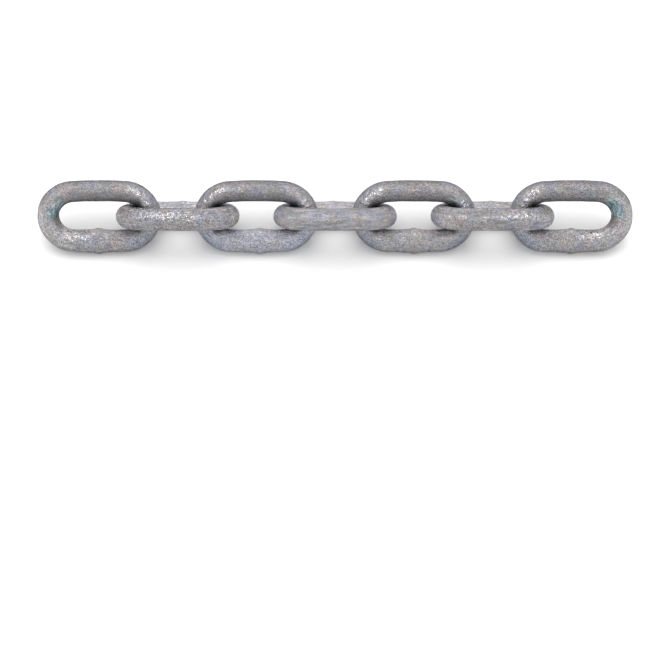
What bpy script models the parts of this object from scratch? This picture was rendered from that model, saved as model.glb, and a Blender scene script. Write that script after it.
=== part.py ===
"""A straight length of welded round-wire anchor chain, seven links long.

Every link is the same closed loop: two half-round bows joined by two straight arms, one of
which carries the bead of its closing weld. Neighbouring links cross at a right angle, each
one's end bow passing through the next one's eye.

The chain lies pulled out straight along X on a level surface at z = 0. Its links lean 45
degrees by turns to either side, so that each rests on its welded arm. Metres, +Z up, with
the origin under the middle of the fourth link.
"""

import math

import bmesh
import bpy
from mathutils import Vector

# Driving dimensions
LINK_COUNT = 7
WIRE_DIAMETER = 0.008
INSIDE_LENGTH = 0.0288
INSIDE_WIDTH = 0.0102
SEAT_GAP = 0.0004
LEAN = math.radians(45)
WELD_HEIGHT = 0.00065
WELD_HALF_LENGTH = 0.0055

# How finely the round shapes are divided. The wire has a flat side every 22.5 degrees, so
# one of them lies on the floor. A bow has an odd number of steps, so its end is a flat seat.
WIRE_SIDES = 16
BOW_STEPS = 13

# Sizes that follow
WIRE_RADIUS = WIRE_DIAMETER / 2
BOW_RADIUS = (INSIDE_WIDTH + WIRE_DIAMETER) / 2
HALF_ARM = (INSIDE_LENGTH + WIRE_DIAMETER) / 2 - BOW_RADIUS
END_WIRE = HALF_ARM + BOW_RADIUS
PITCH = INSIDE_LENGTH - SEAT_GAP
HINGE_TO_MIDDLE = PITCH - END_WIRE
LYING_HEIGHT = BOW_RADIUS * math.sin(LEAN) + WIRE_RADIUS

# The welded place swells gently up to a narrow bead. Each pair is a share of its half
# length, counted from the bead, and the share of its height that it has there.
WELD_PROFILE = (
    (-1.0, 0.0),
    (-0.5, 0.35),
    (-0.16, 0.55),
    (0.0, 1.0),
    (0.16, 0.55),
    (0.5, 0.35),
    (1.0, 0.0),
)

ZINC_COLOUR = (0.34, 0.335, 0.35, 1.0)
ZINC_METALLIC = 0.6
ZINC_ROUGHNESS = 0.48


def clear_scene():
    """Take every object of the open scene away."""
    for obj in list(bpy.data.objects):
        bpy.data.objects.remove(obj, do_unlink=True)


def zinc_material():
    """Hot-dip zinc: a dull, slightly cool grey metal."""
    material = bpy.data.materials.new("galvanised_zinc")
    material.use_nodes = True
    shader = material.node_tree.nodes["Principled BSDF"]
    shader.inputs["Base Color"].default_value = ZINC_COLOUR
    shader.inputs["Metallic"].default_value = ZINC_METALLIC
    shader.inputs["Roughness"].default_value = ZINC_ROUGHNESS
    return material


def wire_ring(centre, outward, stretch=1.0, bead=0.0):
    """Corner points of the wire's section, where it crosses the plane through `centre` and Z.

    `outward` points from `centre` to the wire. `stretch` moves the corners out from `centre`,
    and `bead` raises the two flats that face straight outward and straight inward.
    """
    corner_radius = WIRE_RADIUS / math.cos(math.pi / WIRE_SIDES)
    facing = math.cos(2 * math.pi / WIRE_SIDES)
    ring = []
    for side in range(WIRE_SIDES):
        angle = 2 * math.pi * (side + 0.5) / WIRE_SIDES
        across = corner_radius * math.cos(angle)
        if abs(math.cos(angle)) > facing:
            across += math.copysign(bead, across)
        up = Vector((0, 0, corner_radius * math.sin(angle)))
        ring.append(centre + outward * (BOW_RADIUS + across) * stretch + up)
    return ring


def bow_rings(end):
    """Rings round one half-round bow, from arm to arm; `end` is 1 for the +X bow, -1 for the other.

    The inner rings stand out a little, so that the flats between them touch the true round.
    """
    centre = Vector((HINGE_TO_MIDDLE + end * HALF_ARM, 0, 0))
    to_true_round = 1 / math.cos(math.pi / (2 * BOW_STEPS))
    rings = []
    for step in range(BOW_STEPS + 1):
        angle = math.pi * (step / BOW_STEPS - 0.5)
        outward = end * Vector((math.cos(angle), math.sin(angle), 0))
        stretch = to_true_round if 0 < step < BOW_STEPS else 1.0
        rings.append(wire_ring(centre, outward, stretch))
    return rings


def weld_rings():
    """Rings over the weld in the middle of the -Y arm, from its -X side to its +X side."""
    outward = Vector((0, -1, 0))
    rings = []
    for along, height in WELD_PROFILE:
        centre = Vector((HINGE_TO_MIDDLE + along * WELD_HALF_LENGTH, 0, 0))
        rings.append(wire_ring(centre, outward, bead=height * WELD_HEIGHT))
    return rings


def link_mesh(material):
    """One link in its own XY plane, long along X.

    Its origin is the hinge point: the middle of the neighbouring wire that its -X bow holds.
    """
    shape = bmesh.new()
    rings = [
        [shape.verts.new(point) for point in ring]
        for ring in bow_rings(1) + bow_rings(-1) + weld_rings()
    ]
    for ring, following in zip(rings, rings[1:] + rings[:1]):
        for side in range(WIRE_SIDES):
            beside = (side + 1) % WIRE_SIDES
            shape.faces.new((ring[side], following[side], following[beside], ring[beside]))
    bmesh.ops.recalc_face_normals(shape, faces=shape.faces)
    mesh = bpy.data.meshes.new("link")
    shape.to_mesh(mesh)
    shape.free()
    mesh.materials.append(material)
    mesh.shade_smooth()
    mesh.set_sharp_from_angle(angle=math.radians(35))
    return mesh


def add_link(number, mesh, previous):
    """Place one link: the first on the floor, every other one in its neighbour's end bow."""
    link = bpy.data.objects.new(f"link_{number}", mesh)
    bpy.context.scene.collection.objects.link(link)
    if previous is None:
        first_middle = -(LINK_COUNT - 1) / 2 * PITCH
        link.location = (first_middle - HINGE_TO_MIDDLE, 0, LYING_HEIGHT)
        link.rotation_euler = (LEAN, 0, 0)
    else:
        quarter_turn = math.pi / 2 if number % 2 == 0 else -math.pi / 2
        link.parent = previous
        link.location = (PITCH, 0, 0)
        link.rotation_euler = (quarter_turn, 0, 0)
    return link


def build_chain():
    """All the links, joined hand to hand along X."""
    clear_scene()
    mesh = link_mesh(zinc_material())
    link = None
    for number in range(1, LINK_COUNT + 1):
        link = add_link(number, mesh, link)


build_chain()
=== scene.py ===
"""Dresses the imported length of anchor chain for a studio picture.

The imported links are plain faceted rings. Each is replaced by a finished one of the same size:
round galvanised wire, uneven as hot zinc leaves it, with the swelling and the bead of its butt
weld. Metres, +Z up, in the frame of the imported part.
"""

import logging
import math
from dataclasses import asdict, dataclass, fields
from enum import Enum
from typing import ClassVar

import bpy
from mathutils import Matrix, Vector


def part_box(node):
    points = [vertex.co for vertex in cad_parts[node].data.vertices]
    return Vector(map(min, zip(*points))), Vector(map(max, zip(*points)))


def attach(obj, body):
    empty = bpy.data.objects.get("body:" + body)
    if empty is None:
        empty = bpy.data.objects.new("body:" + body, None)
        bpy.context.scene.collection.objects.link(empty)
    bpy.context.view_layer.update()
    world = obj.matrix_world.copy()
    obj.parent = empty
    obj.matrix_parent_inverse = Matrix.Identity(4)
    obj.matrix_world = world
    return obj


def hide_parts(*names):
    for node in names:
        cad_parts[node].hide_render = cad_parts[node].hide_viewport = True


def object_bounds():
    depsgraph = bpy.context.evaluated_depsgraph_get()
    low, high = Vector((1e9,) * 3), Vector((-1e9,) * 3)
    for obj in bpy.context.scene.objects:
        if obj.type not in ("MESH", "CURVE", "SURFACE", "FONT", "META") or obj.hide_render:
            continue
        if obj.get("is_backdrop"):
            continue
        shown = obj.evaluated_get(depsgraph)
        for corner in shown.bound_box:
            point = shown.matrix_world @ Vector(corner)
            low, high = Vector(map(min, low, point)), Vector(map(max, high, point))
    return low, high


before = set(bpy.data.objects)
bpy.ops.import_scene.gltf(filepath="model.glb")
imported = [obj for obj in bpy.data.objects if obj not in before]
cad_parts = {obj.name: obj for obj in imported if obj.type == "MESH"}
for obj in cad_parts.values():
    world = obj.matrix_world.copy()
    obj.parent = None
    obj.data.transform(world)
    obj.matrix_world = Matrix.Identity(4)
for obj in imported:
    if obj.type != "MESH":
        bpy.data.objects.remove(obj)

MM = 0.001
# A place along the wire that is off every link, for a link with no polished patch.
NOWHERE = 1.0
# The lilac share of a link with no lilac of its own, and the middle value of every noise.
USUAL_LILAC = 0.4
MIDDLE = 0.5
log = logging.getLogger("chain")

Colour = tuple[float, float, float]


class Value:
    """One socket of a node tree, used in Python expressions that add its Math nodes."""

    def __init__(self, graph: "Graph", socket: bpy.types.NodeSocket) -> None:
        """Wraps `socket`, which belongs to the tree of `graph`."""
        self.graph = graph
        self.socket = socket

    def __add__(self, other: "Value | float") -> "Value":
        """This value plus another."""
        return self.graph.math("ADD", self, other)

    __radd__ = __add__

    def __sub__(self, other: "Value | float") -> "Value":
        """This value less another."""
        return self.graph.math("SUBTRACT", self, other)

    def __rsub__(self, other: float) -> "Value":
        """A number less this value."""
        return self.graph.math("SUBTRACT", other, self)

    def __mul__(self, other: "Value | float") -> "Value":
        """This value times another."""
        return self.graph.math("MULTIPLY", self, other)

    __rmul__ = __mul__

    def __truediv__(self, other: "Value | float") -> "Value":
        """This value over another."""
        return self.graph.math("DIVIDE", self, other)

    def __rtruediv__(self, other: float) -> "Value":
        """A number over this value."""
        return self.graph.math("DIVIDE", other, self)

    def __neg__(self) -> "Value":
        """This value with its sign turned."""
        return self.graph.math("MULTIPLY", self, -1.0)

    def __abs__(self) -> "Value":
        """This value's size without its sign."""
        return self.graph.math("ABSOLUTE", self)

    def at_least(self, low: "Value | float") -> "Value":
        """This value, or `low` where that is more."""
        return self.graph.math("MAXIMUM", self, low)

    def at_most(self, high: "Value | float") -> "Value":
        """This value, or `high` where that is less."""
        return self.graph.math("MINIMUM", self, high)

    def rise(self, low: float, high: float) -> "Value":
        """A smooth step.

        Args:
            low: where the step starts to rise from 0.
            high: where it reaches 1. A `high` under `low` makes the step fall.

        Returns:
            The step's value, from 0 to 1.
        """
        falling = high < low
        inputs = {
            "Value": self,
            "From Min": min(low, high),
            "From Max": max(low, high),
            "To Min": float(falling),
            "To Max": float(not falling),
        }
        settings = {"interpolation_type": "SMOOTHSTEP"}
        return self.graph.node("ShaderNodeMapRange", settings, inputs)["Result"]


class NodeOutputs:
    """A new node, whose outputs are asked for by name."""

    def __init__(self, graph: "Graph", node: bpy.types.Node) -> None:
        """Wraps `node`, which belongs to the tree of `graph`."""
        self.graph = graph
        self.node = node

    def __getitem__(self, name: str) -> Value:
        """The enabled output of that name."""
        found = [s for s in self.node.outputs if s.name == name and s.enabled]
        return Value(self.graph, found[0])


class Graph:
    """Adds and links the nodes of one shader or geometry tree."""

    def __init__(self, tree: bpy.types.NodeTree) -> None:
        """Starts on `tree`, with its nodes taken away."""
        self.tree = tree
        tree.nodes.clear()

    def node(self, kind: str, settings: dict | None = None, inputs: dict | None = None) -> NodeOutputs:
        """Adds one node.

        Args:
            kind: Blender's name for the node's type.
            settings: the node's own properties, which are set first.
            inputs: a number, a vector, a colour, a Value or a data-block for each named or
                counted input.

        Returns:
            The node's outputs.
        """
        node = self.tree.nodes.new(kind)
        for name, setting in (settings or {}).items():
            setattr(node, name, setting)
        for name, given in (inputs or {}).items():
            socket = self._input(node, name)
            if isinstance(given, Value):
                self.tree.links.new(given.socket, socket)
            elif isinstance(given, tuple) and socket.type == "RGBA":
                socket.default_value = (*given, 1.0)
            else:
                socket.default_value = given
        return NodeOutputs(self, node)

    @staticmethod
    def _input(node: bpy.types.Node, name: str | int) -> bpy.types.NodeSocket:
        """Finds one input of a node.

        Args:
            node: the node.
            name: the input's name or number.

        Returns:
            The input of that number, or the enabled one of that name.
        """
        if isinstance(name, int):
            return node.inputs[name]
        return [s for s in node.inputs if s.name == name and s.enabled][0]

    def math(self, operation: str, *operands: Value | float) -> Value:
        """Adds a Math node.

        Args:
            operation: the Math node's operation.
            *operands: its inputs, in order.

        Returns:
            The node's result.
        """
        inputs = dict(enumerate(operands))
        return self.node("ShaderNodeMath", {"operation": operation}, inputs)["Value"]

    def split(self, vector: Value) -> tuple[Value, Value, Value]:
        """The X, Y and Z of a vector."""
        parts = self.node("ShaderNodeSeparateXYZ", None, {0: vector})
        return parts["X"], parts["Y"], parts["Z"]

    def join(self, x: Value | float, y: Value | float, z: Value | float) -> Value:
        """A vector from its X, Y and Z."""
        return self.node("ShaderNodeCombineXYZ", None, {0: x, 1: y, 2: z})["Vector"]

    def attribute(self, name: str) -> tuple[Value, Value, Value]:
        """The three numbers of a vector that the mesh stores on its points."""
        return self.split(self.node("ShaderNodeAttribute", {"attribute_name": name})["Vector"])

    def noise(
        self, vector: Value, size: float, w: Value | float, detail: float = 2.0, roughness: float = 0.5
    ) -> Value:
        """Adds seamless noise.

        Args:
            vector: where it is read, in metres.
            size: the width of its largest features, in metres.
            w: the place along the fourth dimension, in feature widths. It tells one pattern
                from another.
            detail: how many finer layers lie on it.
            roughness: how strong each of those is.

        Returns:
            The noise, mostly between 0.3 and 0.7.
        """
        inputs = {
            "Vector": vector,
            "W": w * size,
            "Scale": 1 / size,
            "Detail": detail,
            "Roughness": roughness,
            "Distortion": 0.0,
        }
        return self.node("ShaderNodeTexNoise", {"noise_dimensions": "4D"}, inputs)["Fac"]

    def blend(self, share: Value, below: Value | Colour, above: Value | Colour) -> Value:
        """One colour over another.

        Args:
            share: how much of the upper colour shows.
            below: the lower colour.
            above: the upper colour.

        Returns:
            The mixed colour.
        """
        settings = {"data_type": "RGBA", "blend_type": "MIX", "clamp_factor": True}
        inputs = {"Factor": share, "A": below, "B": above}
        return self.node("ShaderNodeMix", settings, inputs)["Result"]

    def dim(self, colour: Value, light: Value) -> Value:
        """A colour made darker or lighter by a number."""
        inputs = {0: colour, "Scale": light}
        return self.node("ShaderNodeVectorMath", {"operation": "SCALE"}, inputs)["Vector"]


def new_finish(name: str) -> tuple[bpy.types.Material, Graph]:
    """Starts a material.

    Args:
        name: the finish's name.

    Returns:
        The material, and its tree with no nodes yet.
    """
    material = bpy.data.materials.new(name)
    material.use_nodes = True
    return material, Graph(material.node_tree)


def add_object(name: str, data: bpy.types.ID) -> bpy.types.Object:
    """Puts a new object into the scene.

    Args:
        name: its name.
        data: its mesh, light or camera.

    Returns:
        The object, at the origin and unturned.
    """
    thing = bpy.data.objects.new(name, data)
    bpy.context.scene.collection.objects.link(thing)
    return thing


def aim(thing: bpy.types.Object, direction: Vector) -> None:
    """Turns a light or a camera to look in a direction."""
    thing.rotation_mode = "QUATERNION"
    thing.rotation_quaternion = direction.to_track_quat("-Z", "Y")


class Pattern(Enum):
    """The zinc's noises, each with its own place along the noise's fourth dimension."""

    ROSY = 1.0
    LILAC = 2.0
    GREEN = 3.0
    STAIN = 4.0
    PALE = 5.0
    GRAIN = 7.0
    LUMPS = 8.0
    GLINTS = 13.0


@dataclass(frozen=True)
class ZincPoint:
    """What the finish works from at a point.

    place: where the point is, in metres.
    lilac: how much more lilac it is than usual.
    bloom, coarse, grime, shade, polish, chill, drawn: as the link stores them,
    how stained it is, with painted shade and pale painted highlight streaks on the stain;
    how coarse-grained; how dark with painted shade where links nest; how much darker or lighter
    by painted shade and light; and how polished, cool and streaked it is.
    grain, lumps, crystal, facet, streak: the finish's own noises, from 0 to 1.
    glint: 1 in a bright speck, and 0 elsewhere.
    """

    place: Value
    lilac: Value
    bloom: Value
    coarse: Value
    grime: Value
    shade: Value
    polish: Value
    chill: Value
    drawn: Value
    grain: Value
    lumps: Value
    crystal: Value
    facet: Value
    streak: Value
    glint: Value


@dataclass(frozen=True)
class GalvanisedZinc:
    """Hot-dip zinc on round wire: dull, coarse-grained and clouded, with small bright glints.

    The fields are its colours, how it reflects, the sizes of its patterns in metres, and how
    strong each of them is in its colour, in its light and in its relief.
    """

    grey: Colour = (0.355, 0.342, 0.348)
    pale: Colour = (0.60, 0.585, 0.61)
    rosy: Colour = (0.39, 0.348, 0.35)
    lilac: Colour = (0.335, 0.335, 0.385)
    green: Colour = (0.33, 0.355, 0.335)
    cool: Colour = (0.24, 0.265, 0.32)
    teal: Colour = (0.25, 0.39, 0.43)
    # Near black, for the painted shade where one link nests in the next.
    grime: Colour = (0.03, 0.032, 0.034)
    edge: Colour = (0.06, 0.06, 0.07)

    metallic: float = 0.8
    glint_metallic: float = 0.95
    roughness: float = 0.46
    glint_roughness: float = 0.17
    facet_roughness: float = 0.16
    gloss: float = 0.15

    rosy_size: float = 6.0 * MM
    lilac_size: float = 5.0 * MM
    green_size: float = 3.5 * MM
    stain_size: float = 2.5 * MM
    pale_size: float = 2.4 * MM
    lump_size: float = 1.3 * MM
    glint_size: float = 1.0 * MM
    crystal_size: float = 0.75 * MM
    grain_size: float = 0.42 * MM
    streak_width: float = 0.8 * MM
    streak_squeeze: float = 0.16
    streak_shift: float = 0.3 * MM

    lilac_spread: float = 0.22
    green_share: float = 0.6
    pale_share: float = 0.4
    streak_share: float = 0.5
    chill_share: float = 0.75
    stain_highlight_share: float = 0.6
    # How dark the painted shade in the nests is, and how much the lumps break it up.
    grime_share: float = 0.9
    grime_breakup: float = 0.8
    glint_share: float = 0.2

    grain_light: float = 0.8
    crystal_light: float = 0.3
    lump_light: float = 0.45
    streak_light: float = 1.1
    lilac_light: float = 0.3
    shade_light: float = 0.75
    stain_shade_and_highlight: float = 1.8
    least_light: float = 0.15

    relief_height: float = 0.2 * MM
    grain_relief: float = 0.6
    grain_lost_to_polish: float = 0.6
    lump_relief: float = 0.5
    polish_relief: float = 2.0
    streak_relief: float = 0.2

    def material(self) -> bpy.types.Material:
        """Builds the finish.

        Returns:
            The material, with its pattern on Object coordinates and on the wire's own.
        """
        material, graph = new_finish("galvanised_zinc")
        zinc = self._point(graph)
        to_glint = self.glint_roughness - self.roughness
        roughness = self.roughness + to_glint * zinc.glint
        facets = self.facet_roughness * (zinc.facet - MIDDLE) * (1 - zinc.glint)
        metallic = self.metallic + (self.glint_metallic - self.metallic) * zinc.glint
        relief = {"Strength": 1.0, "Distance": self.relief_height, "Height": self._height(zinc)}
        surface = {
            "Base Color": self._colour(graph, zinc),
            "Metallic": metallic,
            "Roughness": roughness + facets,
            "Normal": graph.node("ShaderNodeBump", None, relief)["Normal"],
            "Specular Tint": self.edge,
            "Specular IOR Level": self.gloss,
        }
        shader = graph.node("ShaderNodeBsdfPrincipled", None, surface)["BSDF"]
        graph.node("ShaderNodeOutputMaterial", None, {"Surface": shader})
        return material

    def _point(self, graph: Graph) -> ZincPoint:
        """Reads what a link stores on its points, and adds the finish's own noise.

        Args:
            graph: the material's tree.

        Returns:
            The stored values and the noises.
        """
        place = graph.node("ShaderNodeTexCoord")["Object"]
        along, across, up = graph.attribute("wire")
        lilac, bloom, side = graph.attribute("marks")
        # Coarseness, painted shade where links nest, and painted shade and light all over.
        coarse, grime, shade = graph.attribute("wear")
        polish, chill, drawn = graph.attribute("shine")
        grain = graph.noise(place, self.grain_size, Pattern.GRAIN.value, 1.0)
        crystals = {"Vector": place, "Scale": 1 / self.crystal_size}
        crystal, facet, _ = graph.split(graph.node("ShaderNodeTexVoronoi", None, crystals)["Color"])
        on_streaks = graph.join(along * self.streak_squeeze + self.streak_shift, across, up)
        glints = graph.noise(place, self.glint_size, Pattern.GLINTS.value, 1.0).rise(0.49, 0.57)
        return ZincPoint(
            place=place,
            lilac=lilac - USUAL_LILAC,
            bloom=bloom,
            coarse=coarse,
            grime=grime,
            shade=shade,
            polish=polish,
            chill=chill,
            drawn=drawn,
            grain=grain.rise(0.35, 0.65),
            lumps=graph.noise(place, self.lump_size, Pattern.LUMPS.value, 1.0, 0.4),
            crystal=crystal,
            facet=facet,
            streak=graph.noise(on_streaks, self.streak_width, side, 2.0, 0.6),
            glint=(glints * polish).at_most(1.0),
        )

    def _colour(self, graph: Graph, zinc: ZincPoint) -> Value:
        """The zinc's colour, from its clouds up to its glints.

        Args:
            graph: the material's tree.
            zinc: what the finish works from.

        Returns:
            The colour.
        """
        colour = self._clouds(graph, zinc)
        streaks = zinc.streak.rise(0.52, 0.75) * self.streak_share * zinc.drawn
        colour = graph.blend(streaks, colour, self.pale)
        colour = graph.blend(zinc.chill * self.chill_share, colour, self.cool)
        # The teal stain inside the bows. Its pale streaks are painted highlights, and _light gives it
        # painted shade.
        stain = graph.noise(zinc.place, self.stain_size, Pattern.STAIN.value).rise(0.25, 0.6)
        stain = zinc.bloom * stain
        colour = graph.blend(stain, colour, self.teal)
        stain_highlight_streaks = zinc.bloom * zinc.streak.rise(0.5, 0.62) * self.stain_highlight_share
        colour = graph.blend(stain_highlight_streaks, colour, self.pale)
        colour = graph.dim(colour, self._light(zinc, stain))
        # Painted shade, near black, where one link nests in the next, broken up by the lumps.
        grime = zinc.grime * (1 + self.grime_breakup * (zinc.lumps - MIDDLE))
        colour = graph.blend(grime.at_most(1.0) * self.grime_share, colour, self.grime)
        return graph.blend(zinc.glint * self.glint_share, colour, self.pale)

    def _clouds(self, graph: Graph, zinc: ZincPoint) -> Value:
        """The zinc's slow changes of colour.

        Args:
            graph: the material's tree.
            zinc: what the finish works from.

        Returns:
            The clouded colour.
        """
        place = zinc.place
        rosy = graph.noise(place, self.rosy_size, Pattern.ROSY.value, 3.0, 0.6)
        lilac = graph.noise(place, self.lilac_size, Pattern.LILAC.value, 3.0, 0.6)
        green = graph.noise(place, self.green_size, Pattern.GREEN.value, 3.0, 0.6)
        pale = graph.noise(place, self.pale_size, Pattern.PALE.value, 2.0, 0.6)
        lilac = lilac + self.lilac_spread * zinc.lilac
        colour = graph.blend(rosy.rise(0.44, 0.6), self.grey, self.rosy)
        colour = graph.blend(lilac.rise(0.46, 0.6), colour, self.lilac)
        colour = graph.blend(green.rise(0.5, 0.66) * self.green_share, colour, self.green)
        return graph.blend(pale.rise(0.52, 0.8) * self.pale_share, colour, self.pale)

    def _light(self, zinc: ZincPoint, stain: Value) -> Value:
        """How light the zinc is against its plain colour.

        Args:
            zinc: what the finish works from.
            stain: how much of the teal stain shows; painted shade and highlight streaks lie on it.

        Returns:
            The number that the colour is multiplied by.
        """
        mottle = (
            self.grain_light * (zinc.grain - MIDDLE)
            + self.crystal_light * (zinc.crystal - MIDDLE)
            + self.lump_light * (zinc.lumps - MIDDLE)
        )
        drawn = self.streak_light * zinc.drawn * (zinc.streak - MIDDLE)
        light = 1 + zinc.coarse * mottle + drawn
        # The stored shade is painted shade, and painted light where it is below 0.
        light = light * (1 - self.shade_light * zinc.shade) * (1 + self.lilac_light * zinc.lilac)
        # Painted shade over the teal stain, lifted along its streaks into painted highlights.
        light = light * (1 - stain * (1 - self.stain_shade_and_highlight * zinc.streak))
        return light.at_least(self.least_light)

    def _height(self, zinc: ZincPoint) -> Value:
        """The finest relief, as a share of its full height.

        Args:
            zinc: what the finish works from.

        Returns:
            The height.
        """
        grain = self.grain_relief * zinc.grain * (1 - self.grain_lost_to_polish * zinc.polish)
        height = zinc.coarse * (grain + self.lump_relief * zinc.lumps)
        height = height + self.polish_relief * zinc.polish * zinc.lumps
        return height + self.streak_relief * zinc.streak


@dataclass(frozen=True)
class PaleFloor:
    """A plain pale studio floor."""

    colour: Colour = (0.95, 0.95, 0.95)
    roughness: float = 0.9

    def material(self) -> bpy.types.Material:
        """Builds the finish.

        Returns:
            The material, even all over.
        """
        material, graph = new_finish("pale_floor")
        surface = {"Base Color": self.colour, "Roughness": self.roughness}
        shader = graph.node("ShaderNodeBsdfPrincipled", None, surface)["BSDF"]
        graph.node("ShaderNodeOutputMaterial", None, {"Surface": shader})
        return material


@dataclass(frozen=True)
class WireRelief:
    """What the real wire has on its plain round shape.

    The arms and bows are thicker or thinner by a share of the wire's radius. The shoulders, where
    arm meets bow, are drawn in, the upper ones more than the lower. The weld is a long swelling
    with a bead on it, whose feet and tops are places along the wire. Lengths are in metres.
    """

    upper_arm: float = -0.05
    lower_arm: float = 0.01
    bows: float = -0.035
    shoulder: float = 0.3 * MM
    shoulder_tilt: float = 0.25
    weld_swell: float = 0.3 * MM
    weld_half_length: float = 6.0 * MM
    weld_flat: float = 0.8 * MM
    weld_on_faces: float = 0.3
    weld_narrowness: float = 6.0
    weld_bead: float = 0.42 * MM
    bead_left_foot: float = -1.5 * MM
    bead_left_top: float = 0.1 * MM
    bead_right_top: float = 0.2 * MM
    bead_right_foot: float = 2.2 * MM
    waves: float = 0.25 * MM
    wave_size: float = 4.5 * MM
    wave_squeeze: float = 0.45
    wave_shift: float = 1.3 * MM
    dimples: float = 0.10 * MM
    dimple_size: float = 1.6 * MM
    dimple_shift: float = 0.7 * MM


@dataclass(frozen=True)
class Shading:
    """Painted shade and painted light: how much darker the zinc's colour is made by place on
    the wire. Less than 0 is lighter.

    The photograph's light is more even than the studio's, and part of that is put here. A link
    that leans forward shows its far arm behind its near one. A link that leans back shows its
    upper arm edge-on, with its lower one behind that.
    """

    upper_arm: float = 0.19
    upper_arm_inside: float = 0.24
    arm_middles: float = 0.18
    bow_insides: float = 0.5
    free_bow: float = -0.6
    free_bow_lilac: float = -0.35
    forward_crest: float = 0.11
    forward_lower_arm: float = 0.06
    forward_lower_inside: float = 0.17
    forward_inner_rim: float = -0.65
    back_crest: float = 0.16
    back_top_rim: float = -0.35
    back_low_rim: float = -0.5
    back_bows: float = -0.6
    back_lower_arm: float = -0.12


@dataclass(frozen=True)
class Character:
    """What tells one link from the others.

    Left is at -X, and the lower arm is the welded one, on the floor. Places, spreads and the
    shift are in metres along the wire from the middle of an arm, and the rest are shares.

    bloom: how stained a bow is inside, with painted shade and painted highlight streaks on the stain.
    nest: 1 for a bow that the next link nests in, and 0 for a free one.
    grain, lilac: how coarse and how lilac an arm is.
    shine_place, shine_spread: where an arm is polished, and how far to either side.
    far_glint: how polished the upper arm is at a second place, towards its other end.
    bead_shift: how far to the right the weld's bead lies.
    face_bead: how high the bead is on the wire's two faces, against its edges.
    """

    left_bloom: float = 0.0
    right_bloom: float = 0.0
    left_nest: float = 1.0
    right_nest: float = 1.0
    upper_grain: float = 0.6
    lower_grain: float = 0.8
    upper_lilac: float = USUAL_LILAC
    lower_lilac: float = USUAL_LILAC
    upper_shine_place: float = NOWHERE
    upper_shine_spread: float = 1.0 * MM
    lower_shine_place: float = NOWHERE
    lower_shine_spread: float = 1.0 * MM
    far_glint: float = 0.0
    bead_shift: float = 0.0
    face_bead: float = 0.1

    @staticmethod
    def input_name(field: str) -> str:
        """The tree's input for a field: "Left Bloom" for "left_bloom"."""
        return field.replace("_", " ").title()

    def inputs(self) -> dict[str, float]:
        """A number for each of the tree's inputs that is named for a field."""
        return {self.input_name(field): number for field, number in asdict(self).items()}


class Lean(Enum):
    """Which way a link leans, with the angle from level that its own plane is rolled by."""

    FORWARD = 45.0
    BACK = 135.0


@dataclass(frozen=True)
class WirePoint:
    """Where a point of the plain wire is, in the link's own plane.

    arm_x: the X of the arm's or bow's middle that the point goes round.
    out_x, out_y: the direction from there, out of the link.
    along: metres along the wire from the middle of its arm.
    across, up: metres from the middle of the wire, outwards and along the link's normal.
    outward, facing: the same two as shares of the wire's radius.
    reach: the share of the way from the middle of an arm to the end of a bow.
    upper, lower: 1 on that arm, falling to 0 at the end of a bow.
    on_top, on_right: 1 on the upper arm and right of the middle, with a soft change at 0.
    side: the noise's fourth dimension, which keeps the two arms apart.
    """

    arm_x: Value
    out_x: Value
    out_y: Value
    along: Value
    across: Value
    up: Value
    outward: Value
    facing: Value
    reach: Value
    upper: Value
    lower: Value
    on_top: Value
    on_right: Value
    side: Value


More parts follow.
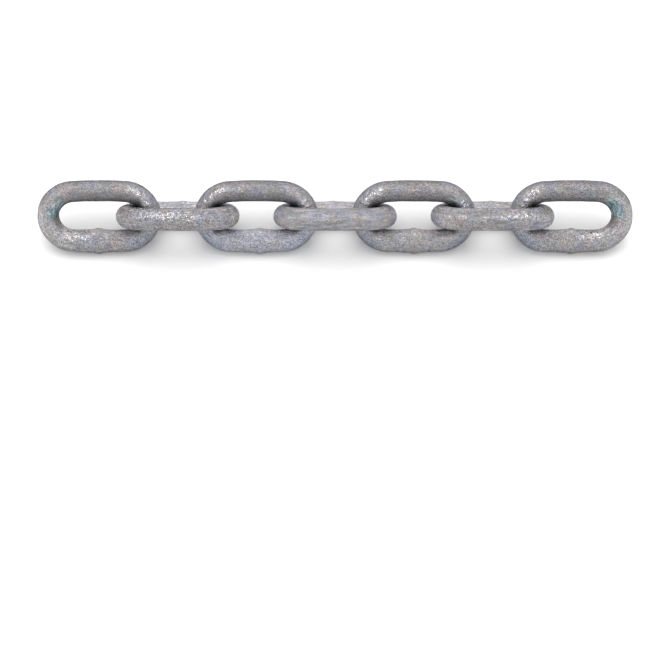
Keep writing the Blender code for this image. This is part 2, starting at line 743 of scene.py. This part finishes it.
@dataclass
class LinkTree:
    """The Geometry Nodes tree that makes one link from a few sizes.

    The numbers in its smooth steps are shares of the wire's radius, or of the way from the middle
    of an arm to the end of a bow. The far glint lies at a multiple of the near one's place.
    Lengths are in metres.
    """

    relief: WireRelief
    shading: Shading
    material: bpy.types.Material
    bow_points: int = 64
    path_points: int = 336
    section_sides: int = 96
    floor_clearance: float = 0.02 * MM
    arm_spacing: float = 3 * MM
    end_blend: float = 1 * MM
    far_glint_place: float = -1.2
    far_glint_spread: float = 2 * MM
    drawn_back: float = 0.9
    drawn_forward: float = 0.4

    SIZES: ClassVar[tuple[str, ...]] = (
        "Wire Radius",
        "Bow Radius",
        "Half Arm",
        "Roll",
        "Leans Forward",
        "Seed",
    )

    def __post_init__(self) -> None:
        """Builds the tree, with an input for each size and for each field of a character."""
        self.tree = bpy.data.node_groups.new("galvanised_link", "GeometryNodeTree")
        self.graph = Graph(self.tree)
        self.sockets: dict[str, str] = {}
        for name in self.SIZES:
            self._add_input(name, "NodeSocketFloat")
        for field in fields(Character):
            self._add_input(Character.input_name(field.name), "NodeSocketFloat")
        self._add_input("Middle", "NodeSocketVector")
        self.tree.interface.new_socket("Geometry", in_out="OUTPUT", socket_type="NodeSocketGeometry")
        self.given = self.graph.node("NodeGroupInput")
        self._build()

    def _add_input(self, name: str, kind: str) -> None:
        """Adds one named input and keeps its identifier."""
        socket = self.tree.interface.new_socket(name, in_out="INPUT", socket_type=kind)
        self.sockets[name] = socket.identifier

    def _build(self) -> None:
        """Adds every node, from the wire's path to the finished mesh."""
        geometry = self._shape(self._plain_wire())
        turn = self.graph.join(self.given["Roll"], 0.0, 0.0)
        place = {"Translation": self.given["Middle"], "Rotation": turn}
        geometry = self._through("GeometryNodeTransform", geometry, place)
        geometry = self._rest_on_floor(geometry)
        geometry = self._through("GeometryNodeSetShadeSmooth", geometry)
        geometry = self._through("GeometryNodeRealizeInstances", geometry)
        geometry = self._through("GeometryNodeSetMaterial", geometry, {"Material": self.material})
        self.graph.node("NodeGroupOutput", None, {"Geometry": geometry})

    def _through(
        self, kind: str, geometry: Value, inputs: dict | None = None, settings: dict | None = None
    ) -> Value:
        """Sends the geometry through one more node.

        Args:
            kind: Blender's name for the node's type.
            geometry: what goes in.
            inputs: the node's other inputs.
            settings: the node's own properties.

        Returns:
            The geometry that comes out.
        """
        inputs = {"Geometry": geometry, **(inputs or {})}
        return self.graph.node(kind, settings, inputs)["Geometry"]

    def _plain_wire(self) -> Value:
        """Bends round wire along the link's closed path, in the link's own XY plane.

        Returns:
            The plain wire.
        """
        graph, given = self.graph, self.given
        width = 2 * given["Bow Radius"]
        outline = {"Width": width + 2 * given["Half Arm"], "Height": width}
        path = graph.node("GeometryNodeCurvePrimitiveQuadrilateral", None, outline)["Curve"]
        bows = {"Count": self.bow_points, "Radius": given["Bow Radius"], "Limit Radius": True}
        path = graph.node("GeometryNodeFilletCurve", {"mode": "POLY"}, {"Curve": path, **bows})["Curve"]
        inputs = {"Curve": path, "Count": self.path_points}
        path = graph.node("GeometryNodeResampleCurve", {"mode": "COUNT"}, inputs)["Curve"]
        inputs = {"Resolution": self.section_sides, "Radius": given["Wire Radius"]}
        section = graph.node("GeometryNodeCurvePrimitiveCircle", None, inputs)["Curve"]
        inputs = {"Curve": path, "Profile Curve": section}
        return graph.node("GeometryNodeCurveToMesh", None, inputs)["Mesh"]

    def _shape(self, geometry: Value) -> Value:
        """Marks every point for the finish, and moves it to where the real wire has it.

        Args:
            geometry: the plain wire.

        Returns:
            The uneven wire, with the attributes "wire", "marks", "wear" and "shine".
        """
        point = self._wire_point()
        marks = {
            "wire": self.graph.join(point.along, point.across, point.up),
            "marks": self._marks(point),
            # Coarseness, painted shade where links nest, and painted shade and light all over.
            "wear": self._wear(point),
            "shine": self._shine(point),
        }
        settings = {"data_type": "FLOAT_VECTOR", "domain": "POINT"}
        for name, vector in marks.items():
            inputs = {"Name": name, "Value": vector}
            geometry = self._through("GeometryNodeStoreNamedAttribute", geometry, inputs, settings)
        place = {"Position": self._real_place(point)}
        return self._through("GeometryNodeSetPosition", geometry, place)

    def _wire_point(self) -> WirePoint:
        """Works out where each point is on the plain wire.

        Returns:
            Its place, in every form that the other methods use.
        """
        graph, given = self.graph, self.given
        x, y, up = graph.split(graph.node("GeometryNodeInputPosition")["Position"])
        arm_x = x.at_most(given["Half Arm"]).at_least(-given["Half Arm"])
        past_arm = x - arm_x
        from_middle = graph.math("SQRT", past_arm * past_arm + y * y)
        out_y = y / from_middle
        across = from_middle - given["Bow Radius"]
        turned = graph.math("ARCTAN2", abs(past_arm), abs(y))
        along = arm_x + graph.math("SIGN", past_arm) * given["Bow Radius"] * turned
        quarter = given["Half Arm"] + given["Bow Radius"] * (math.pi / 2)
        return WirePoint(
            arm_x=arm_x,
            out_x=past_arm / from_middle,
            out_y=out_y,
            along=along,
            across=across,
            up=up,
            outward=across / given["Wire Radius"],
            facing=up / given["Wire Radius"],
            reach=abs(along) / quarter,
            upper=out_y.at_least(0.0),
            lower=(-out_y).at_least(0.0),
            on_top=out_y.rise(-0.5, 0.5),
            on_right=x.rise(-self.end_blend, self.end_blend),
            side=y / self.arm_spacing + given["Seed"],
        )

    def _real_place(self, point: WirePoint) -> Value:
        """Where the real, uneven wire has each point.

        Args:
            point: where it is on the plain wire.

        Returns:
            Its position in the link's own plane.
        """
        given, relief = self.given, self.relief
        thicker = (
            relief.bows
            + (relief.upper_arm - relief.bows) * point.upper * point.upper
            + (relief.lower_arm - relief.bows) * point.lower * point.lower
        )
        grown = given["Wire Radius"] * thicker * point.outward * point.outward
        grown = grown + self._weld(point) + self._unevenness(point)
        thickness = given["Wire Radius"] + grown
        shoulder = point.reach.rise(0.15, 0.5) * point.reach.rise(0.95, 0.62)
        shoulder = shoulder * (1 - relief.shoulder_tilt + relief.shoulder_tilt * point.out_y)
        out = given["Bow Radius"] - relief.shoulder * shoulder + point.outward * thickness
        x = point.arm_x + point.out_x * out
        return self.graph.join(x, point.out_y * out, point.facing * thickness)

    def _weld(self, point: WirePoint) -> Value:
        """How far the butt weld stands out: a long swelling, with a bead steep on its left.

        Args:
            point: where the point is on the plain wire.

        Returns:
            The height to add to the wire's radius.
        """
        graph, relief = self.graph, self.relief
        along = point.along - self.given["Bead Shift"]
        edges = graph.math("POWER", abs(point.outward), relief.weld_narrowness)
        faces = graph.math("POWER", abs(point.facing), relief.weld_narrowness)
        swell = abs(along).rise(relief.weld_half_length, relief.weld_flat)
        swell = swell * (relief.weld_on_faces + (1 - relief.weld_on_faces) * edges)
        bead = along.rise(relief.bead_left_foot, relief.bead_left_top)
        bead = bead * along.rise(relief.bead_right_foot, relief.bead_right_top)
        bead = bead * (edges + self.given["Face Bead"] * faces)
        return point.lower * (relief.weld_swell * swell + relief.weld_bead * bead)

    def _unevenness(self, point: WirePoint) -> Value:
        """How far the zinc's low waves and dimples stand out.

        Args:
            point: where the point is on the plain wire.

        Returns:
            The height to add to the wire's radius.
        """
        graph, relief = self.graph, self.relief
        squeezed = point.along * relief.wave_squeeze + relief.wave_shift
        on_waves = graph.join(squeezed, point.across, point.up)
        on_dimples = graph.join(point.along + relief.dimple_shift, point.across, point.up)
        waves = graph.noise(on_waves, relief.wave_size, point.side, 1.0)
        dimples = graph.noise(on_dimples, relief.dimple_size, point.side, 1.0)
        return relief.waves * (waves - MIDDLE) + relief.dimples * (dimples - MIDDLE)

    def _by_end(self, name: str, point: WirePoint) -> Value:
        """The left end's number for a mark, going over to the right end's."""
        left = self.given[f"Left {name}"]
        return left + (self.given[f"Right {name}"] - left) * point.on_right

    def _by_arm(self, name: str, point: WirePoint) -> Value:
        """The lower arm's number for a mark, going over to the upper arm's."""
        lower = self.given[f"Lower {name}"]
        return lower + (self.given[f"Upper {name}"] - lower) * point.on_top

    def _free_bow(self, point: WirePoint) -> Value:
        """1 at the end of a bow that no other link nests in, and 0 elsewhere."""
        return (1 - self._by_end("Nest", point)) * point.reach.rise(0.7, 0.95)

    def _marks(self, point: WirePoint) -> Value:
        """How lilac and how stained each point is, with the fourth dimension of its noise. The stain
        also carries painted shade and painted highlight streaks.

        Args:
            point: where the point is on the plain wire.

        Returns:
            The vector that is stored as "marks".
        """
        free_lilac = self.shading.free_bow_lilac * self._free_bow(point)
        inside = point.outward.rise(0.25, -0.4)
        bloom = inside * point.out_y.rise(-0.22, 0.18) * point.reach.rise(0.52, 0.67)
        bloom = bloom * self._by_end("Bloom", point)
        return self.graph.join(self._by_arm("Lilac", point) + free_lilac, bloom, point.side)

    def _wear(self, point: WirePoint) -> Value:
        """How coarse each point is, and its painted shade: where a link nests, and all over.

        Args:
            point: where the point is on the plain wire.

        Returns:
            The vector that is stored as "wear".
        """
        # Painted shade on the inside of a bow, where the next link nests in it.
        nest = point.outward.rise(0.0, -0.6) * point.reach.rise(0.55, 0.75)
        grime = nest * self._by_end("Nest", point)
        return self.graph.join(self._by_arm("Grain", point), grime, self._shade(point))

    def _shade(self, point: WirePoint) -> Value:
        """Painted shade: how much darker each point's colour is made than plain zinc, as a share.

        Args:
            point: where the point is on the plain wire.

        Returns:
            The painted shade, with painted light where it is below 0: what all links have, and what
            goes with the way that a link leans.
        """
        shading, forward = self.shading, self.given["Leans Forward"]
        inside = shading.upper_arm_inside * point.outward.rise(0.7, -0.8)
        shade = point.out_y.rise(-0.2, 0.8) * (shading.upper_arm + inside)
        shade = shade + shading.arm_middles * point.reach.rise(0.62, 0.3)
        bow_inside = point.outward.rise(-0.2, -0.8) * point.reach.rise(0.6, 0.8)
        shade = shade + shading.bow_insides * bow_inside * (-point.out_y).rise(-0.3, 0.1)
        shade = shade + shading.free_bow * self._free_bow(point) * point.outward.rise(0.0, 0.7)
        shade = shade + forward * self._forward_shade(point)
        return shade + (1 - forward) * self._back_shade(point)

    def _forward_shade(self, point: WirePoint) -> Value:
        """The shade that only a link that leans forward has.

        Args:
            point: where the point is on the plain wire.

        Returns:
            The shade.
        """
        shading = self.shading
        crest = point.outward.rise(0.85, 0.6) * point.outward.rise(0.0, 0.25)
        shade = shading.forward_crest * crest * point.out_y.rise(-0.2, 0.8)
        inside = shading.forward_lower_inside * point.outward.rise(0.0, -0.3)
        inner_rim = shading.forward_inner_rim * point.outward.rise(-0.5, -0.95)
        return shade + point.lower * (shading.forward_lower_arm + inside + inner_rim)

    def _back_shade(self, point: WirePoint) -> Value:
        """The shade that only a link that leans back has.

        Args:
            point: where the point is on the plain wire.

        Returns:
            The shade.
        """
        shading = self.shading
        viewer_side = -point.facing
        crest = shading.back_crest * viewer_side.rise(0.25, 0.5) * viewer_side.rise(0.85, 0.65)
        top_rim = shading.back_top_rim * point.facing.rise(0.7, 0.95)
        bows = point.reach.rise(0.52, 0.88) * point.outward.rise(-0.2, 0.6)
        shade = point.upper * (crest + top_rim) + shading.back_lower_arm * point.lower
        shade = shade + shading.back_low_rim * viewer_side.rise(0.75, 0.98)
        return shade + shading.back_bows * bows

    def _shine(self, point: WirePoint) -> Value:
        """How polished, how cool and how streaked by drawing each point is.

        Args:
            point: where the point is on the plain wire.

        Returns:
            The vector that is stored as "shine".
        """
        graph, given = self.graph, self.given
        from_shine = abs(point.along - self._by_arm("Shine Place", point))
        polish = (from_shine / self._by_arm("Shine Spread", point)).rise(1.3, 0.7)
        far_place = self.far_glint_place * given["Upper Shine Place"]
        from_glint = abs(point.along - far_place) / self.far_glint_spread
        polish = polish + given["Far Glint"] * from_glint.rise(1.3, 0.7) * point.on_top
        upward = point.facing * graph.math("COSINE", given["Roll"])
        upward = upward + point.outward * point.out_y * graph.math("SINE", given["Roll"])
        polish = polish * upward.rise(0.4, 0.85)
        chill = point.reach.rise(0.4, 0.58) * point.reach.rise(0.85, 0.72) * point.lower.rise(0.2, 0.6)
        chill = chill * point.outward.rise(-0.2, 0.3) * self._by_end("Nest", point)
        drawn = self.drawn_back + (self.drawn_forward - self.drawn_back) * given["Leans Forward"]
        return graph.join(polish, chill, drawn)

    def _rest_on_floor(self, geometry: Value) -> Value:
        """Presses what would sink below the floor up to its surface.

        Args:
            geometry: the link, in its place in the chain.

        Returns:
            The link, with nothing below the floor.
        """
        x, y, z = self.graph.split(self.graph.node("GeometryNodeInputPosition")["Position"])
        place = {"Position": self.graph.join(x, y, z.at_least(self.floor_clearance))}
        return self._through("GeometryNodeSetPosition", geometry, place)


@dataclass
class Link:
    """One link of the chain, made to the size and place of its node in the frame."""

    node: str
    seed: float
    character: Character
    wire: float = 8 * MM
    resting_band: float = 0.8 * MM

    def lean(self) -> Lean:
        """Finds which way the link leans.

        Returns:
            The lean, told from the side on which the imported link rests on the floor.
        """
        low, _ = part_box(self.node)
        corners = [vertex.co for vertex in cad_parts[self.node].data.vertices]
        resting = [corner.y for corner in corners if corner.z < low.z + self.resting_band]
        return Lean.BACK if sum(resting) > 0 else Lean.FORWARD

    def sizes(self) -> dict[str, float | Vector]:
        """Works the link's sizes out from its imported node.

        Returns:
            A value for each input of the tree.
        """
        low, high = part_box(self.node)
        lean = self.lean()
        roll = math.radians(lean.value)
        bow_radius = (high.z - low.z - self.wire) / (2 * math.sin(roll))
        return {
            "Wire Radius": self.wire / 2,
            "Bow Radius": bow_radius,
            "Half Arm": (high.x - low.x - self.wire) / 2 - bow_radius,
            "Roll": roll,
            "Leans Forward": float(lean is Lean.FORWARD),
            "Seed": self.seed,
            "Middle": (low + high) / 2,
            **self.character.inputs(),
        }

    def build(self, link_tree: LinkTree) -> bpy.types.Object:
        """Makes the finished link and puts it in its node's stead.

        Args:
            link_tree: the tree that shapes every link.

        Returns:
            The link's object, at the origin, with its place in its mesh.
        """
        maker = add_object("link_maker", bpy.data.meshes.new("link_maker"))
        modifier = maker.modifiers.new("link", "NODES")
        modifier.node_group = link_tree.tree
        for name, size in self.sizes().items():
            modifier[link_tree.sockets[name]] = size
        graph = bpy.context.evaluated_depsgraph_get()
        mesh = bpy.data.meshes.new_from_object(maker.evaluated_get(graph))
        bpy.data.objects.remove(maker, do_unlink=True)
        mesh.name = f"galvanised_{self.node}"
        piece = add_object(f"galvanised_{self.node}", mesh)
        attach(piece, self.node)
        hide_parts(self.node)
        return piece


@dataclass
class Chain:
    """All the links, from -X to +X."""

    relief: WireRelief
    shading: Shading
    zinc: GalvanisedZinc
    first_seed: float = 10.0
    seed_step: float = 7.3

    CHARACTERS: ClassVar[dict[str, Character]] = {
        "link_1": Character(
            left_bloom=1.1,
            left_nest=0.0,
            upper_grain=0.7,
            lower_grain=0.9,
            upper_shine_place=16.4 * MM,
            upper_shine_spread=5.5 * MM,
            lower_shine_place=-8.0 * MM,
            lower_shine_spread=5.0 * MM,
            far_glint=0.6,
            bead_shift=-0.7 * MM,
        ),
        "link_2": Character(
            upper_grain=0.9,
            lower_grain=0.7,
            upper_shine_place=-5.0 * MM,
            upper_shine_spread=12.0 * MM,
            bead_shift=0.8 * MM,
            face_bead=0.7,
        ),
        "link_3": Character(
            right_bloom=0.5,
            upper_grain=0.7,
            lower_lilac=1.0,
            upper_shine_place=-16.4 * MM,
            upper_shine_spread=5.5 * MM,
            far_glint=1.0,
            bead_shift=0.8 * MM,
        ),
        "link_4": Character(
            upper_grain=0.5,
            lower_grain=0.6,
            upper_lilac=0.55,
            bead_shift=-1.0 * MM,
            face_bead=0.7,
        ),
        "link_5": Character(
            right_bloom=0.5,
            upper_grain=0.7,
            upper_shine_place=-16.4 * MM,
            upper_shine_spread=5.5 * MM,
            far_glint=1.0,
        ),
        "link_6": Character(
            upper_grain=0.8,
            lower_grain=0.7,
            upper_lilac=0.5,
            upper_shine_place=10.0 * MM,
            upper_shine_spread=8.0 * MM,
            face_bead=0.7,
        ),
        "link_7": Character(
            right_bloom=1.3,
            right_nest=0.0,
            upper_grain=0.8,
            lower_grain=0.9,
            upper_shine_place=-16.4 * MM,
            upper_shine_spread=5.5 * MM,
            lower_shine_place=7.0 * MM,
            lower_shine_spread=4.5 * MM,
            far_glint=0.6,
        ),
    }

    def build(self) -> list[bpy.types.Object]:
        """Makes every link.

        Returns:
            The finished links, in order.
        """
        link_tree = LinkTree(self.relief, self.shading, self.zinc.material())
        pieces = []
        for number, node in enumerate(sorted(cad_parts)):
            seed = self.first_seed + self.seed_step * number
            pieces.append(Link(node, seed, self.CHARACTERS[node]).build(link_tree))
        return pieces


class Lamp(Enum):
    """The small lamps that make the zinc glint, and where each hangs, in metres."""

    SPARK = (0.0, -0.3, 0.9)
    SIDE_LEFT = (-0.4, -0.3, 0.85)
    SIDE_RIGHT = (0.4, -0.3, 0.85)


@dataclass
class Studio:
    """The floor, the soft light, the small lamps and the camera.

    Lengths are in metres, but for the lens and the sensor, in millimetres, and those in the
    picture, in pixels. Angles are in degrees.
    """

    floor_half: float = 3.0
    world_colour: Colour = (1.0, 1.0, 1.0)
    world_strength: float = 1.0
    soft_light_angle: float = 50.0
    soft_light_strength: float = 1.2
    soft_light_direction: tuple[float, float, float] = (0.0, -0.25, -0.9)
    lamp_width: float = 0.07
    lamp_watts: float = 0.9
    sight_elevation: float = 52.9
    sight_distance: float = 0.573
    nearest_seen: float = 0.01
    lens: float = 85.0
    sensor: float = 36.0
    picture_width: int = 670
    chain_above_middle: float = 119.0

    def build(self) -> None:
        """Makes everything that isn't part of the chain."""
        self.build_floor()
        self.build_world()
        self.build_soft_light()
        for lamp in Lamp:
            self.hang(lamp)
        self.build_camera()
        bpy.context.scene.view_settings.view_transform = "Standard"

    def build_floor(self) -> None:
        """Lays the plain pale floor."""
        half = self.floor_half
        corners = [(-half, -half, 0), (half, -half, 0), (half, half, 0), (-half, half, 0)]
        mesh = bpy.data.meshes.new("floor")
        mesh.from_pydata(corners, [], [(0, 1, 2, 3)])
        mesh.materials.append(PaleFloor().material())
        floor = add_object("floor", mesh)
        floor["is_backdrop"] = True

    def build_world(self) -> None:
        """Fills the studio with even, pale light."""
        world = bpy.data.worlds.new("studio")
        world.use_nodes = True
        background = world.node_tree.nodes["Background"]
        background.inputs["Color"].default_value = (*self.world_colour, 1.0)
        background.inputs["Strength"].default_value = self.world_strength
        bpy.context.scene.world = world

    def build_soft_light(self) -> None:
        """Adds one very wide, soft light from overhead and a little behind the chain."""
        light = bpy.data.lights.new("soft_light", "SUN")
        light.angle = math.radians(self.soft_light_angle)
        light.energy = self.soft_light_strength
        aim(add_object("soft_light", light), Vector(self.soft_light_direction))

    def hang(self, lamp: Lamp) -> None:
        """Hangs one small lamp, aimed at the chain. It is seen in the zinc, and lights nothing.

        Args:
            lamp: which one.
        """
        name = lamp.name.lower()
        light = bpy.data.lights.new(name, "AREA")
        light.shape = "SQUARE"
        light.size = self.lamp_width
        light.energy = self.lamp_watts
        hung = add_object(name, light)
        hung.location = Vector(lamp.value)
        hung.visible_diffuse = False
        aim(hung, -hung.location)

    def build_camera(self) -> None:
        """Sets the camera at the photograph's angle, with the chain in its upper half."""
        low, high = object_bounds()
        elevation = math.radians(self.sight_elevation)
        back = Vector((0, -math.cos(elevation), math.sin(elevation)))
        share_above = self.chain_above_middle / self.picture_width
        tilt = elevation + math.atan(share_above * self.sensor / self.lens)
        view = bpy.data.cameras.new("camera")
        view.lens = self.lens
        view.sensor_width = self.sensor
        view.clip_start = self.nearest_seen
        camera = add_object("camera", view)
        camera.location = (low + high) / 2 + back * self.sight_distance
        aim(camera, Vector((0, math.cos(tilt), -math.sin(tilt))))
        bpy.context.scene.camera = camera


def main() -> None:
    """Dresses the chain, reports its pieces, and sets up the studio round it."""
    logging.basicConfig(level=logging.INFO, format="%(name)s %(message)s")
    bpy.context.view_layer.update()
    for piece in Chain(WireRelief(), Shading(), GalvanisedZinc()).build():
        log.info("%s: %d faces", piece.name, len(piece.data.polygons))
    Studio().build()


if __name__ == "__main__":
    main()
